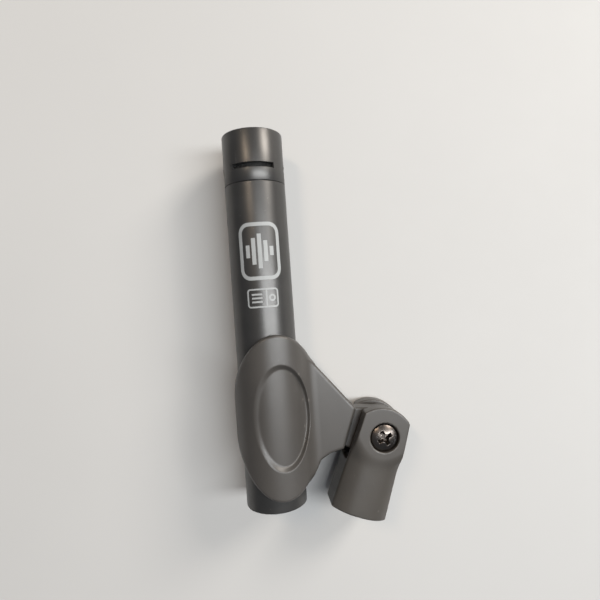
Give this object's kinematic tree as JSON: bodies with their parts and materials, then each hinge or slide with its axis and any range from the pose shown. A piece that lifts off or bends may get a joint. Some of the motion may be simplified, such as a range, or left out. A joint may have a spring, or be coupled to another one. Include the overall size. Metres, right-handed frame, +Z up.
{
  "type": "pencil microphone",
  "caption": "Slim condenser microphone in a snap-in stand clip with a swivelling threaded base; it slides out of the clip and the base swings about its screw.",
  "frame": {"origin": "on the floor under the middle of the assembly's bounding box", "axes": "+Z up, +Y along the microphone towards its front, +X towards the clip's arm and swivel"},
  "size_m": [0.063, 0.1432, 0.0286],
  "materials": {
    "satin_coat": "satin gunmetal coat",
    "mesh_metal": "blackened woven wire",
    "capsule_metal": "nickel-plated brass, satin",
    "diaphragm_foil": "metallised foil",
    "dark_plastic": "matte",
    "inner_metal": "machined",
    "board_laminate": "solder mask",
    "capacitor_sleeve": "shrink sleeve",
    "capacitor_film": "dipped coating",
    "pin_gold": "gold-plated",
    "clip_plastic": "moulded, fine grain",
    "base_plastic": "moulded, fine grain",
    "brass": "turned",
    "dark_nickel": "dark nickel plate",
    "washer_nylon": "nylon"
  },
  "bodies": {
    "clip": {"clip_body": "clip_plastic"},
    "microphone": {"head_shell": "satin_coat", "front_grille": "mesh_metal", "grille_ring": "dark_plastic", "slot_screen": "mesh_metal", "capsule_case": "capsule_metal", "diaphragm": "diaphragm_foil", "diaphragm_ring": "inner_metal", "backplate": "capsule_metal", "capsule_insulator": "dark_plastic", "contact_pin": "pin_gold", "head_collar": "inner_metal", "body_tube": "satin_coat", "circuit_board": "board_laminate", "electrolytic_capacitor_1": "capacitor_sleeve", "electrolytic_capacitor_2": "capacitor_sleeve", "film_capacitor": "capacitor_film", "input_transistor": "dark_plastic", "board_support": "dark_plastic", "connector_cup": "dark_plastic", "connector_pin_1": "pin_gold", "connector_pin_2": "pin_gold", "connector_pin_3": "pin_gold", "connector_lock_screw": "dark_nickel"},
    "swivel": {"swivel_base": "base_plastic", "thread_insert": "brass", "pivot_screw": "dark_nickel", "pivot_nut": "dark_nickel", "friction_washer_upper": "washer_nylon", "friction_washer_lower": "washer_nylon"}
  },
  "joints": [
    {"name": "microphone_slide", "type": "slide", "parent": "clip", "child": "microphone", "axis": [0, 1, 0], "range_m": [-0.045, 0.04]},
    {"name": "base_swivel", "type": "hinge", "parent": "clip", "child": "swivel", "pos_m": [0.02084, -0.04022, 0.01081], "axis": [0.0906, 0, 0.9959], "range_deg": [-12, 180]}
  ]
}
